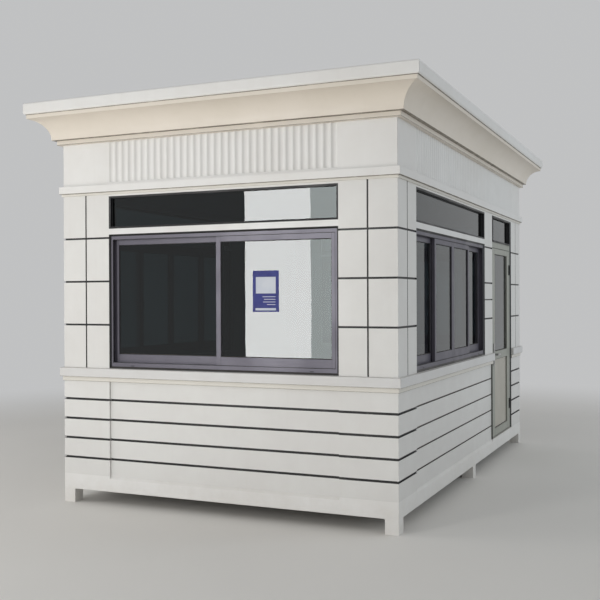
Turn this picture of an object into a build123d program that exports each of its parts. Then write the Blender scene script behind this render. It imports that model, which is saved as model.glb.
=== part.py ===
from build123d import *
import os

os.makedirs("parts", exist_ok=True)

# A security guard booth in millimetres: +Z up, the origin on the ground in the middle of the
# footprint, the front towards -Y and the door in the right side, towards +X.
# Each side is drawn as if it were the front: u runs along it, left to right as seen from
# outside, p is how far a piece stands out from the wall's face, and z is the height.

# How far a cut runs past the faces that it opens
overcut = 1

# The body in plan
body_width = 2800
body_depth = 4440
wall = 100
post_width = 435
door_pier_width = 334
door_opening_width = 940
door_post_width = 495

# Heights, stacked from the ground up; the door sets the level of the top lights
foot_height = 108
base_rail_height = 120
boards_height = 743
sill_fillet_height = 34
sill_band_height = 72
threshold_height = 6
leaf_bottom_gap = 6
leaf_height = 1868
leaf_head_gap = 5
door_head_height = 57
transom_rail_height = 45
transom_height = 254
head_strip_height = 15
belt_fillet_height = 19
belt_band_height = 57
frieze_height = 335
bed_height = 36
cove_height = 162
lip_height = 30
fascia_height = 94

base_top = foot_height + base_rail_height
sill_fillet_bottom = base_top + boards_height
sill_band_bottom = sill_fillet_bottom + sill_fillet_height
sill_top = sill_band_bottom + sill_band_height
threshold_top = base_top + threshold_height
leaf_bottom = threshold_top + leaf_bottom_gap
leaf_top = leaf_bottom + leaf_height
head_bottom = leaf_top + leaf_head_gap
transom_bottom = head_bottom + door_head_height
window_top = transom_bottom - transom_rail_height
transom_top = transom_bottom + transom_height
frieze_bottom = transom_top + head_strip_height
belt_band_bottom = frieze_bottom + belt_fillet_height
belt_top = belt_band_bottom + belt_band_height
bed_bottom = belt_top + frieze_height
cornice_bottom = bed_bottom + bed_height
cove_top = cornice_bottom + cove_height
fascia_bottom = cove_top + lip_height
roof_top = fascia_bottom + fascia_height

# Base frame and floor
foot_size = 100
foot_tube_wall = 5
sole_plate = 10
base_rail_depth = 100
plinth_bevel = 20
floor_thickness = 20
joist_height = 80
joist_width = 60
joist_count = 7

# Boards, tile joints and their grooves
groove_width = 12
groove_depth = 10
first_board = 134
board_pitch = 155
board_grooves = 4
panel_recess = 15
tile_rows = 4
pier_extra_joint = 522
post_joint_width = 12

# Mouldings: how far each stands out from the wall
sill_fillet_out = 8
sill_band_out = 25
sill_fall = 4
belt_fillet_out = 11
belt_band_out = 25
bed_out = 35
cove_foot_out = 65
cove_head_out = 195
lip_out = 203
fascia_out = 220
fascia_round = 16
coping_fall = 12

# Flutes of the frieze
flute_pitch = 58.5
flute_width = 44
flute_depth = 7
flute_foot = 20

# Roof and ceiling
roof_seat_width = 50
roof_thickness = 60
roof_rib_height = 25
roof_rib_top = 35
roof_rib_foot = 75
roof_rib_count = 17
ceiling_clearance_height = 56
ceiling_thickness = 15
ceiling_bottom = transom_top + ceiling_clearance_height

# Windows and top lights
frame_setback = 12
frame_lip = 5
frame_fin = 4
frame_jamb = 28
frame_head = 40
frame_sill = 44
track_width = 28
track_floor = 14
track_web = 10
rib_width = 4
rib_height = 12
sash_depth = 26
sash_engagement = 15
sash_head_engagement = 18
sash_slot_height = 6
sash_slot_width = 6
end_stile = 45
meeting_stile = 38
sash_top_rail = 60
sash_bottom_rail = 89
same_track_gap = 2
pane_thickness = 6
transom_setback = 3
transom_bar = 12
transom_depth = 60

# Door and its frame
door_jamb = 45
door_frame_depth = 78
leaf_free_gap = 7
leaf_hinge_gap = 5
leaf_thickness = 40
leaf_stile = 115
leaf_top_rail = 55
leaf_mid_rail = 78
leaf_bottom_rail = 73
leaf_panel_height = 689
door_panel_thickness = 12
stop_width = 15
stop_depth = 15
stop_gap = 1

# Door handle
handle_height = 820
handle_plate_width = 42
handle_plate_height = 220
handle_plate_thickness = 8
handle_neck_radius = 9
handle_reach = 48
lever_length = 125
lever_height = 20
lever_thickness = 12

# Butt hinges
hinge_inset_top = 200
hinge_inset_bottom = 252
hinge_length = 105
hinge_plate = 3
hinge_wing = 36
knuckle_radius = 7
knuckle_lift = 0.5
knuckle_gap = 1
pin_radius = 3
pin_clearance = 0.3
wing_relief = 1.5
middle_knuckle = 35

sides = ("front", "right", "back", "left")
side_turn = {"front": 0, "right": 90, "back": 180, "left": 270}
half_width = body_width / 2
half_depth = body_depth / 2
half_length = {"front": half_width, "right": half_depth, "back": half_width, "left": half_depth}
face_distance = {"front": half_depth, "right": half_width, "back": half_depth, "left": half_width}

# Openings along each side
side_window_start = -half_depth + post_width
door_end = half_depth - door_post_width
door_start = door_end - door_opening_width
side_window_end = door_start - door_pier_width
window_spans = {
    "front": (-half_width + post_width, half_width - post_width),
    "right": (side_window_start, side_window_end),
    "back": (-half_width + post_width, half_width - post_width),
    "left": (-side_window_end, -side_window_start),
}
door_span = (door_start, door_end)
frame_face = -frame_setback


def save(node, shapes):
    """Writes the solids of one node as one STEP file."""
    solids = [solid for shape in shapes for solid in shape.solids()]
    export_step(solids[0] if len(solids) == 1 else Compound(solids), f"parts/{node}.step")


def block(x0, x1, y0, y1, z0, z1):
    centre = ((x0 + x1) / 2, (y0 + y1) / 2, (z0 + z1) / 2)
    return Pos(*centre) * Box(abs(x1 - x0), abs(y1 - y0), abs(z1 - z0))


def bar(u0, u1, p0, p1, z0, z1):
    """A block on a side drawn as the front."""
    return block(u0, u1, -p0, -p1, z0, z1)


def ring(u0, u1, p0, p1, z0, z1, side_bar, top_bar, bottom_bar):
    """A rectangular frame with one opening."""
    inner_u = (u0 + side_bar, u1 - side_bar)
    inner_z = (z0 + bottom_bar, z1 - top_bar)
    return bar(u0, u1, p0, p1, z0, z1) - bar(*inner_u, p0 - overcut, p1 + overcut, *inner_z)


def on_side(side, shape):
    """Turns a shape drawn as the front to its own side of the booth."""
    return Rot(0, 0, side_turn[side]) * Pos(0, -face_distance[side], 0) * shape


def section(edges):
    """A face in the plane across the wall, from edges drawn with x = -p and y = z."""
    return Plane.YZ * make_face(edges)


def outline(*points):
    """A closed section from (p, z) corners."""
    corners = [(-p, z) for p, z in points]
    return section(Polyline(*corners, close=True))


def mitred(side, face, inside, outside, z0, z1):
    """Runs a section along a whole side and cuts it at 45 degrees at both corners."""
    half = half_length[side]
    run = extrude(face, amount=half + outside, both=True)
    plan = Polyline(
        (-half - outside, -outside),
        (half + outside, -outside),
        (half - inside, inside),
        (-half + inside, inside),
        close=True,
    )
    keep = Pos(0, 0, z0) * extrude(make_face(plan), amount=z1 - z0)
    return run & keep


def make_feet():
    """Square tubes with sole plates, flush with the walls' faces."""
    tube = Box(foot_size, foot_size, foot_height)
    bore = foot_size - 2 * foot_tube_wall
    hollow = Pos(0, 0, sole_plate) * Box(bore, bore, foot_height)
    foot = Pos(0, 0, foot_height / 2) * (tube - hollow)
    x = half_width - foot_size / 2
    y = half_depth - foot_size / 2
    places = [(sx * x, row * y) for row in (-1, 0, 1) for sx in (-1, 1)]
    return [Pos(px, py, 0) * foot for px, py in places]


def base_rail(side):
    """A rail of the base frame, bevelled under the recessed boards."""
    face = outline(
        (0, foot_height), (0, base_top), (-base_rail_depth, base_top), (-base_rail_depth, foot_height)
    )
    rail = mitred(side, face, base_rail_depth, 0, foot_height, base_top)
    start, end = lower_wall_span(side)
    wedge = outline(
        (0, base_top - plinth_bevel),
        (overcut, base_top - plinth_bevel),
        (overcut, base_top + overcut),
        (-panel_recess, base_top + overcut),
        (-panel_recess, base_top),
    )
    bevel = Pos(start, 0, 0) * extrude(wedge, amount=end - start)
    return on_side(side, rail - bevel)


def lower_wall_span(side):
    """The stretch of boarding between the corner posts, or up to the door."""
    start = -half_length[side] + post_width
    end = half_length[side] - post_width
    return (start, door_start) if side == "right" else (start, end)


def lower_wall(side):
    """Boards set back behind the corner posts, flush again under the sill moulding."""
    start, end = lower_wall_span(side)
    boards = bar(start, end, -panel_recess, -wall, base_top, sill_fillet_bottom)
    head = bar(start, end, 0, -wall, sill_fillet_bottom, sill_top)
    for z in board_groove_heights:
        low = z - groove_width / 2
        boards -= bar(start, end, 0, -panel_recess - groove_depth, low, low + groove_width)
    return on_side(side, boards + head)


board_groove_heights = [base_top + first_board + i * board_pitch for i in range(board_grooves)]
tile_height = (frieze_bottom - sill_top) / tile_rows
tile_joint_heights = [sill_top + i * tile_height for i in range(1, tile_rows)]


def corner_post(turn, x, y, front_arm, right_arm):
    """An L-shaped post, drawn as the front right one with its outer corner at the origin."""
    post = block(-front_arm, 0, 0, wall, base_top, frieze_bottom)
    post += block(-wall, 0, 0, right_arm, base_top, frieze_bottom)
    for z in board_groove_heights + tile_joint_heights:
        low = z - groove_width / 2
        high = z + groove_width / 2
        post -= block(-front_arm, 0, 0, groove_depth, low, high)
        post -= block(-groove_depth, 0, 0, right_arm, low, high)
    front_joint = -(front_arm + post_joint_width) / 2
    right_joint = (right_arm - post_joint_width) / 2
    front_span = (front_joint, front_joint + post_joint_width)
    right_span = (right_joint, right_joint + post_joint_width)
    post -= block(*front_span, 0, groove_depth, sill_top, frieze_bottom)
    post -= block(-groove_depth, 0, *right_span, sill_top, frieze_bottom)
    return Pos(x, y, 0) * Rot(0, 0, turn) * post


def tiled_pier(start, end, joints):
    """A wall part above the sill with level joints between its tiles."""
    pier = bar(start, end, 0, -wall, sill_top, frieze_bottom)
    for z in joints:
        low = z - groove_width / 2
        pier -= bar(start, end, 0, -groove_depth, low, low + groove_width)
    return pier


def make_wall_piers():
    """The pier between the side window and the door, and the closed wall part opposite."""
    door_pier_joints = tile_joint_heights + [sill_top + pier_extra_joint]
    door_pier = tiled_pier(side_window_end, door_start, door_pier_joints)
    closed_start = -half_depth + post_width
    closed = tiled_pier(closed_start, -side_window_end, tile_joint_heights)
    joint = (closed_start - side_window_end - post_joint_width) / 2
    closed -= bar(joint, joint + post_joint_width, 0, -groove_depth, sill_top, frieze_bottom)
    return [on_side("right", door_pier), on_side("left", closed)]


def sill_belt(side):
    """The moulding under the windows: a fillet with a prouder band over it."""
    face = outline(
        (0, sill_fillet_bottom),
        (sill_fillet_out, sill_fillet_bottom),
        (sill_fillet_out, sill_band_bottom),
        (sill_band_out, sill_band_bottom),
        (sill_band_out, sill_top - sill_fall),
        (0, sill_top),
    )
    belt = mitred(side, face, 0, sill_band_out, sill_fillet_bottom, sill_top)
    if side == "right":
        low = sill_fillet_bottom - overcut
        belt -= bar(*door_span, -overcut, sill_band_out + overcut, low, sill_top + overcut)
    return on_side(side, belt)


def flutes(side):
    """The row of concave flutes between the corner posts."""
    run = 2 * (half_length[side] - post_width)
    count = round(run / flute_pitch)
    radius = ((flute_width / 2) ** 2 + flute_depth**2) / (2 * flute_depth)
    low = belt_top + flute_foot
    flute = Cylinder(radius, bed_bottom - low)
    tool = Pos(0, flute_depth - radius, (low + bed_bottom) / 2) * flute
    return [Pos((i - (count - 1) / 2) * flute_pitch, 0, 0) * tool for i in range(count)]


def opening_spans(side):
    """All openings of a side, the door too."""
    return [window_spans[side], door_span] if side == "right" else [window_spans[side]]


def frieze(side):
    """Upper belt, fluted frieze and bed fillet, with a strip down to each opening's head."""
    face = outline(
        (-wall, frieze_bottom),
        (belt_fillet_out, frieze_bottom),
        (belt_fillet_out, belt_band_bottom),
        (belt_band_out, belt_band_bottom),
        (belt_band_out, belt_top),
        (0, belt_top),
        (0, bed_bottom),
        (bed_out, bed_bottom),
        (bed_out, cornice_bottom),
        (-wall, cornice_bottom),
    )
    piece = mitred(side, face, wall, bed_out, frieze_bottom, cornice_bottom)
    for start, end in opening_spans(side):
        piece += bar(start, end, 0, -wall, transom_top, frieze_bottom)
    return on_side(side, piece - flutes(side))


def cornice(side):
    """Coved cornice with a rounded fascia and a coping that falls to the roof."""
    back = -roof_seat_width
    cove_foot = (-cove_foot_out, cornice_bottom)
    cove_head = (-cove_head_out, cove_top)
    low_round = fascia_bottom + fascia_round
    high_round = roof_top - fascia_round
    edges = [
        TangentArc(cove_foot, cove_head, tangent=(0, 1)),
        Line((-cove_head_out, cove_top), (-lip_out, cove_top)),
        Line((-lip_out, cove_top), (-lip_out, fascia_bottom)),
        RadiusArc((-lip_out, fascia_bottom), (-fascia_out, low_round), fascia_out - lip_out),
        Line((-fascia_out, low_round), (-fascia_out, high_round)),
        RadiusArc((-fascia_out, high_round), (-fascia_out + fascia_round, roof_top), fascia_round),
        Line((-fascia_out + fascia_round, roof_top), (-back, roof_top - coping_fall)),
        Line((-back, roof_top - coping_fall), (-back, cornice_bottom)),
        Line((-back, cornice_bottom), (-cove_foot_out, cornice_bottom)),
    ]
    face = section(edges)
    return on_side(side, mitred(side, face, roof_seat_width, fascia_out, cornice_bottom, roof_top))


def make_roof_deck():
    """A ribbed deck that bears on the inner half of the walls."""
    x = half_width - roof_seat_width
    y = half_depth - roof_seat_width
    top = cornice_bottom + roof_thickness
    rib_pitch = 2 * y / roof_rib_count
    corners = [(-y, cornice_bottom), (-y, top)]
    for i in range(roof_rib_count):
        centre = -y + (i + 0.5) * rib_pitch
        corners += [
            (centre - roof_rib_foot / 2, top),
            (centre - roof_rib_top / 2, top + roof_rib_height),
            (centre + roof_rib_top / 2, top + roof_rib_height),
            (centre + roof_rib_foot / 2, top),
        ]
    corners += [(y, top), (y, cornice_bottom)]
    face = Plane.YZ * make_face(Polyline(*corners, close=True))
    return extrude(face, amount=x, both=True)


def inner_slab(z0, z1):
    """A slab that fills the room between the walls."""
    x = half_width - wall
    y = half_depth - wall
    return block(-x, x, -y, y, z0, z1)


def make_joists():
    """Cross members between the long base rails, under the floor."""
    x = half_width - base_rail_depth
    top = base_top - floor_thickness
    pitch = (body_depth - 2 * base_rail_depth) / (joist_count + 1)
    centres = [-half_depth + base_rail_depth + (i + 1) * pitch for i in range(joist_count)]
    half = joist_width / 2
    return [block(-x, x, y - half, y + half, top - joist_height, top) for y in centres]


def make_transom_rails():
    """White rails between the windows and the top lights."""
    heights = (window_top, transom_bottom)
    return [on_side(side, bar(*window_spans[side], 0, -wall, *heights)) for side in sides]


def top_light_spans(side):
    """The top lights of a side; the one over the door fits between the door's jambs."""
    over_door = (jamb_inner_start, jamb_inner_end)
    return [window_spans[side], over_door] if side == "right" else [window_spans[side]]


def transoms():
    """Frames and panes of the top lights."""
    frames = []
    panes = []
    front = -transom_setback
    back = front - transom_depth
    middle = (front + back) / 2
    for side in sides:
        for start, end in top_light_spans(side):
            bars = (transom_bar, transom_bar, transom_bar)
            frame = ring(start, end, back, front, transom_bottom, transom_top, *bars)
            pane = bar(
                start + transom_bar,
                end - transom_bar,
                middle - pane_thickness / 2,
                middle + pane_thickness / 2,
                transom_bottom + transom_bar,
                transom_top - transom_bar,
            )
            frames.append(on_side(side, frame))
            panes.append(on_side(side, pane))
    return frames, panes


def sash_tracks(side):
    """The track of each sash, from the left as seen from outside."""
    if side in ("front", "back"):
        return ("inner", "outer")
    return ("inner", "outer", "outer", "inner")


frame_depth = 2 * frame_lip + 2 * track_width + frame_fin
track_middle = {
    "outer": frame_face - frame_lip - track_width / 2,
    "inner": frame_face - frame_lip - track_width - frame_fin - track_width / 2,
}
rib_top = sill_top + track_floor + rib_height
sash_bottom = rib_top - sash_slot_height
sash_top = window_top - frame_head + sash_head_engagement
glass_bottom = sash_bottom + sash_bottom_rail
glass_top = sash_top - sash_top_rail


def window_frame(side):
    """An extruded frame with two open tracks; each track has a rib along its floor."""
    start, end = window_spans[side]
    back = frame_face - frame_depth
    bars = (frame_jamb, frame_head, frame_sill)
    frame = ring(start, end, back, frame_face, sill_top, window_top, *bars)
    inner_start = start + track_web
    inner_end = end - track_web
    floor = sill_top + track_floor
    ceiling = window_top - track_web
    for middle in track_middle.values():
        half = track_width / 2
        frame -= bar(inner_start, inner_end, middle - half, middle + half, floor, ceiling)
        half = rib_width / 2
        frame += bar(inner_start, inner_end, middle - half, middle + half, floor, rib_top)
    return on_side(side, frame)


def sash_ends(side):
    """Track, left end, right end and both stiles of each sash of a window."""
    start, end = window_spans[side]
    tracks = sash_tracks(side)
    pitch = (end - start - 2 * frame_jamb) / len(tracks)
    ends = []
    for i, track in enumerate(tracks):
        reach = [sash_engagement, sash_engagement]
        stile = [end_stile, end_stile]
        for hand, neighbour in ((0, i - 1), (1, i + 1)):
            if 0 <= neighbour < len(tracks):
                stile[hand] = meeting_stile
                same = tracks[neighbour] == track
                reach[hand] = -same_track_gap / 2 if same else meeting_stile / 2
        left = start + frame_jamb + i * pitch - reach[0]
        right = start + frame_jamb + (i + 1) * pitch + reach[1]
        ends.append((track, left, right, stile))
    return ends


def window_sashes(side):
    """Sashes that ride on the ribs by a slot under their bottom rails."""
    sashes = []
    for track, left, right, stile in sash_ends(side):
        middle = track_middle[track]
        low = middle - sash_depth / 2
        high = middle + sash_depth / 2
        sash = bar(left, right, low, high, sash_bottom, sash_top)
        glass = (left + stile[0], right - stile[1])
        sash -= bar(*glass, low - overcut, high + overcut, glass_bottom, glass_top)
        slot = (middle - sash_slot_width / 2, middle + sash_slot_width / 2)
        sash -= bar(left - overcut, right + overcut, *slot, sash_bottom - overcut, rib_top)
        sashes.append(on_side(side, sash))
    return sashes


def window_panes(side):
    """The pane of each sash."""
    panes = []
    half = pane_thickness / 2
    for track, left, right, stile in sash_ends(side):
        middle = track_middle[track]
        glass = (left + stile[0], right - stile[1])
        pane = bar(*glass, middle - half, middle + half, glass_bottom, glass_top)
        panes.append(on_side(side, pane))
    return panes


# The door's own places: its frame, its leaf and the hinge axis
frame_back = frame_face - door_frame_depth
jamb_inner_start = door_start + door_jamb
jamb_inner_end = door_end - door_jamb
leaf_start = jamb_inner_start + leaf_free_gap
leaf_end = jamb_inner_end - leaf_hinge_gap
leaf_back = frame_face - leaf_thickness
axis_u = jamb_inner_end - leaf_hinge_gap / 2
axis_p = frame_face + knuckle_radius + knuckle_lift
light_start = leaf_start + leaf_stile
light_end = leaf_end - leaf_stile
panel_bottom = leaf_bottom + leaf_bottom_rail
panel_top = panel_bottom + leaf_panel_height
light_bottom = panel_top + leaf_mid_rail
light_top = leaf_top - leaf_top_rail
handle_centre = threshold_top + handle_height
hinge_centres = (leaf_bottom + hinge_inset_bottom, leaf_top - hinge_inset_top)
leaf_middle = (frame_face + leaf_back) / 2


def make_door_jambs():
    """Jambs that run up past the head and hold the door's top light too."""
    near = bar(door_start, jamb_inner_start, frame_back, frame_face, base_top, transom_top)
    far = bar(jamb_inner_end, door_end, frame_back, frame_face, base_top, transom_top)
    return [on_side("right", near), on_side("right", far)]


def make_door_head():
    head = bar(jamb_inner_start, jamb_inner_end, frame_back, frame_face, head_bottom, transom_bottom)
    return [on_side("right", head)]


def make_door_threshold():
    plate = bar(jamb_inner_start, jamb_inner_end, frame_back, frame_face, base_top, threshold_top)
    return [on_side("right", plate)]


def make_door_stops():
    """Seals on the jambs and the head that the closed leaf rests against."""
    front = leaf_back - stop_gap
    back = front - stop_depth
    head_low = head_bottom - stop_width
    heights = (threshold_top, head_low - stop_gap)
    near = bar(jamb_inner_start, jamb_inner_start + stop_width, back, front, *heights)
    far = bar(jamb_inner_end - stop_width, jamb_inner_end, back, front, *heights)
    head = bar(jamb_inner_start, jamb_inner_end, back, front, head_low, head_bottom)
    return [on_side("right", stop) for stop in (near, far, head)]


def make_door_leaf():
    """Stiles and rails round a glazed light and a lower panel."""
    leaf = bar(leaf_start, leaf_end, leaf_back, frame_face, leaf_bottom, leaf_top)
    for z0, z1 in ((light_bottom, light_top), (panel_bottom, panel_top)):
        leaf -= bar(light_start, light_end, leaf_back - overcut, frame_face + overcut, z0, z1)
    return [on_side("right", leaf)]


def leaf_infill(thickness, z0, z1):
    """A sheet held in the middle of the leaf."""
    half = thickness / 2
    sheet = bar(light_start, light_end, leaf_middle - half, leaf_middle + half, z0, z1)
    return on_side("right", sheet)


def make_door_handle():
    """A lever on a long plate on each face of the near stile."""
    centre = leaf_start + leaf_stile / 2
    levers = []
    for face, out in ((frame_face, 1), (leaf_back, -1)):
        plate = bar(
            centre - handle_plate_width / 2,
            centre + handle_plate_width / 2,
            face,
            face + out * handle_plate_thickness,
            handle_centre - handle_plate_height / 2,
            handle_centre + handle_plate_height / 2,
        )
        tip = face + out * handle_reach
        neck_length = handle_reach - handle_plate_thickness
        neck_middle = face + out * (handle_plate_thickness + neck_length / 2)
        neck = Rot(90, 0, 0) * Cylinder(handle_neck_radius, neck_length)
        neck = Pos(centre, -neck_middle, handle_centre) * neck
        lever = bar(
            centre - handle_neck_radius,
            centre - handle_neck_radius + lever_length,
            tip - out * lever_thickness,
            tip,
            handle_centre - lever_height / 2,
            handle_centre + lever_height / 2,
        )
        levers.append(on_side("right", plate + neck + lever))
    return levers


def knuckle(z0, z1):
    return Pos(axis_u, -axis_p, (z0 + z1) / 2) * Cylinder(knuckle_radius, z1 - z0)


def hinge(height):
    """One butt hinge: the jamb's half with its pin, and the door's half round the pin."""
    low = height - hinge_length / 2
    high = height + hinge_length / 2
    mid_low = height - middle_knuckle / 2
    mid_high = height + middle_knuckle / 2
    plate_top = frame_face + hinge_plate
    clear = knuckle_radius + wing_relief
    jamb_half = bar(axis_u + clear, axis_u + hinge_wing, frame_face, plate_top, low, high)
    for z0, z1 in ((low, mid_low - knuckle_gap), (mid_high + knuckle_gap, high)):
        jamb_half += bar(axis_u, axis_u + clear, frame_face, plate_top, z0, z1)
        jamb_half += knuckle(z0, z1)
    jamb_half += Pos(axis_u, -axis_p, height) * Cylinder(pin_radius, hinge_length)
    door_half = bar(axis_u - hinge_wing, axis_u - clear, frame_face, plate_top, low, high)
    door_half += bar(axis_u - clear, axis_u, frame_face, plate_top, mid_low, mid_high)
    door_half += knuckle(mid_low, mid_high)
    door_half -= Pos(axis_u, -axis_p, height) * Cylinder(pin_radius + pin_clearance, hinge_length)
    return on_side("right", jamb_half), on_side("right", door_half)


save("feet", make_feet())
save("floor_joists", make_joists())
save("floor_panel", [inner_slab(base_top - floor_thickness, base_top)])
save("ceiling_panel", [inner_slab(ceiling_bottom, ceiling_bottom + ceiling_thickness)])
save("roof_deck", [make_roof_deck()])

for side in sides:
    save(f"base_rail_{side}", [base_rail(side)])
    save(f"lower_wall_{side}", [lower_wall(side)])
    save(f"sill_belt_{side}", [sill_belt(side)])
    save(f"frieze_{side}", [frieze(side)])
    save(f"cornice_{side}", [cornice(side)])

corners = {
    "front_right": (0, half_width, -half_depth, post_width, post_width),
    "back_right": (90, half_width, half_depth, door_post_width, post_width),
    "back_left": (180, -half_width, half_depth, post_width, post_width),
    "front_left": (270, -half_width, -half_depth, post_width, post_width),
}
for corner, place in corners.items():
    save(f"corner_post_{corner}", [corner_post(*place)])

save("wall_piers", make_wall_piers())
save("transom_rails", make_transom_rails())
transom_frames, transom_panes = transoms()
save("transom_frames", transom_frames)

save("window_frames", [window_frame(side) for side in sides])
save("window_sashes", [sash for side in sides for sash in window_sashes(side)])
save("window_panes", transom_panes + [pane for side in sides for pane in window_panes(side)])

save("door_jambs", make_door_jambs())
save("door_head", make_door_head())
save("door_threshold", make_door_threshold())
save("door_stops", make_door_stops())
save("door_leaf", make_door_leaf())
save("door_glass", [leaf_infill(pane_thickness, light_bottom, light_top)])
save("door_panel", [leaf_infill(door_panel_thickness, panel_bottom, panel_top)])
save("door_handle", make_door_handle())

hinges = [hinge(height) for height in hinge_centres]
save("hinge_plates", [jamb_half for jamb_half, door_half in hinges])
save("hinge_leaves", [door_half for jamb_half, door_half in hinges])
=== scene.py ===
import math

import bmesh
import bpy
from mathutils import Matrix, Vector


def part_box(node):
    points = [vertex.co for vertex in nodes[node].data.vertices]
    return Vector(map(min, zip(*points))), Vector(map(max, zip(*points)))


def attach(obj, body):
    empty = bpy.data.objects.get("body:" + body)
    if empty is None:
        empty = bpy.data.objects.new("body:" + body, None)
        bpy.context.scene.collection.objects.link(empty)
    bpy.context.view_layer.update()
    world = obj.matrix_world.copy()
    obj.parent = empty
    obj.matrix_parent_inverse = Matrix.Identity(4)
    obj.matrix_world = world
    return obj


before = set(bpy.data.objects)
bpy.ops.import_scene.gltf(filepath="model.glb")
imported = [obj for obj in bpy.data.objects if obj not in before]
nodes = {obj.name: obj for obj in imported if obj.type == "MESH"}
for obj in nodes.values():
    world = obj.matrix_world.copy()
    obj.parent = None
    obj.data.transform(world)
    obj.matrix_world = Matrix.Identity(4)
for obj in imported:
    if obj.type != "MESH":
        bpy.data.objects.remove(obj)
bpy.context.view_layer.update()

# The booth's own sizes, in metres, read from the frame
HALF_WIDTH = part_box("corner_post_front_right")[1].x
HALF_DEPTH = -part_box("corner_post_front_right")[0].y
ROOM_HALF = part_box("floor_panel")[1]
FLOOR_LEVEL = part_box("floor_panel")[1].z
CEILING_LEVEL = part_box("ceiling_panel")[0].z
RAIL_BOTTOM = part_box("base_rail_front")[0].z
BOARDS_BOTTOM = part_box("base_rail_front")[1].z
BOARDS_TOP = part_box("sill_belt_front")[0].z
SILL_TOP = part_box("sill_belt_front")[1].z
BELT_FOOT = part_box("corner_post_front_right")[1].z
HANDLE_LEVEL = (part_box("door_handle")[0].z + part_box("door_handle")[1].z) / 2

# Board joints below the sill: the first above the base rail, then one every pitch
FIRST_BOARD = 0.134
BOARD_PITCH = 0.155
JOINT_HALF = 0.0066

# How far dirt, sealant and painted shade darken the face on each side of a level joint, from its
# middle
BOARD_LIP_HALF = 0.0088
TILE_LIP_HALF = 0.0074

# Tile joints above the sill: four rows up to the belt
TILE_ROWS = 4
TILE_PITCH = (BELT_FOOT - SILL_TOP) / TILE_ROWS

# How far up mud splashes show
SPLASH_HEIGHT = 0.6

# Gaskets, beads and pile strips
GASKET_WIDTH = 0.006
GASKET_RISE = 0.003
DOOR_GASKET_WIDTH = 0.007
BEAD_WIDTH = 0.015
BEAD_RISE = 0.010
BEAD_LEAN = 0.8
FRAME_JAMB = 0.028
FRAME_HEAD = 0.040
FRAME_SILL = 0.044
FRAME_LIP = 0.005
PILE_WIDTH = 0.0035
PILE_RISE = 0.004
SHORT_OF_FACE = 0.0005

# Screws: radius and rise, and the shares of these that their tops and sockets take
SCREW_SIDES = 16
HINGE_SCREW = (0.0038, 0.0016)
LATCH_SCREW = (0.003, 0.0012)
HANDLE_SCREW = (0.0045, 0.0014)
THRESHOLD_SCREW = (0.0042, 0.001)
SCREW_TOP = 0.72
SOCKET_WALL = 0.38
SOCKET_DEPTH = 0.6

# Other heads: radius, radius at the top, rise and sides
LOCK_RISE = 0.0025
WASHER_RISE = 0.002
BOSS = (0.0085, 0.0075, 0.008)
COLLAR = (0.016, 0.0145, 0.004, 24)
LOCK = (0.0085, 0.008, LOCK_RISE, 24)
WASHER = (0.009, 0.008, WASHER_RISE, 12)
ROOF_SCREW = (0.0048, 0.0045, 0.005, 6)
ROOF_SCREW_ROWS = 7

# The sheet taped to the front pane
NOTICE_WIDTH = 0.210
NOTICE_HEIGHT = 0.300
NOTICE_CENTRE_X = 0.387
NOTICE_CENTRE_Z = 1.672
NOTICE_GAP = 0.0006
NOTICE_SHEET = 0.0002
NOTICE_CURL = 0.064
CURL_START = 0.25

# Its pane is the right one of those in front of this and under the top light
FRONT_PANES = -2.1
TOP_LIGHT = 2.2

# Its pale field and foot: how far over its middle, and their half sizes
NOTICE_FIELDS = ((0.044, (0.080, 0.060)), (-0.131, (0.082, 0.008)))

# Its plain pale bars: half lengths, where they end, and their levels under its middle
BAR_HALVES = (0.052, 0.046, 0.050, 0.034)
BAR_EDGE = 0.078
BAR_HALF_HEIGHT = 0.0022
FIRST_BAR = 0.040
BAR_PITCH = 0.019


def srgb(*screen):
    """A colour given as it looks on screen, 0 to 255, as the linear values that shaders take."""
    shares = [value / 255 for value in screen]
    linear = [s / 12.92 if s <= 0.04045 else ((s + 0.055) / 1.055) ** 2.4 for s in shares]
    return (*linear, 1.0)


# Shader building


def feed(tree, made, inputs):
    """Links or sets the inputs of a node."""
    for socket, value in inputs.items():
        if isinstance(value, bpy.types.NodeSocket):
            tree.links.new(value, made.inputs[socket])
        else:
            made.inputs[socket].default_value = value


def place(tree, kind, inputs=None, **settings):
    """Adds a shader node, gives it its settings, feeds its inputs and gives back its outputs."""
    made = tree.nodes.new("ShaderNode" + kind)
    for name, value in settings.items():
        setattr(made, name, value)
    feed(tree, made, inputs or {})
    return made.outputs


def maths(tree, operation, first, second=0.0, clamp=False):
    inputs = {0: first, 1: second}
    return place(tree, "Math", inputs, operation=operation, use_clamp=clamp)[0]


def above(tree, value, limit):
    return maths(tree, "GREATER_THAN", value, limit)


def below(tree, value, limit):
    return maths(tree, "LESS_THAN", value, limit)


def near(tree, value, middle, reach):
    away = maths(tree, "ABSOLUTE", maths(tree, "SUBTRACT", value, middle))
    return below(tree, away, reach)


def product(tree, first, *others):
    for other in others:
        first = maths(tree, "MULTIPLY", first, other)
    return first


def ramp(tree, value, low, high, to_low=0.0, to_high=1.0):
    """A smooth change from to_low to to_high while value goes from low to high."""
    inputs = {
        "Value": value, "From Min": low, "From Max": high, "To Min": to_low, "To Max": to_high
    }
    return place(tree, "MapRange", inputs, interpolation_type="SMOOTHSTEP")[0]


def mixed(tree, share, first, second):
    inputs = {0: share, 6: first, 7: second}
    return place(tree, "Mix", inputs, data_type="RGBA")[2]


def on_object(tree):
    """The place on the booth, as a vector."""
    return place(tree, "TexCoord")["Object"]


def face_normal(tree):
    return place(tree, "NewGeometry")["Normal"]


def parts_of(tree, vector):
    """The X, Y and Z outputs of a vector."""
    return place(tree, "SeparateXYZ", {0: vector})


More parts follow.
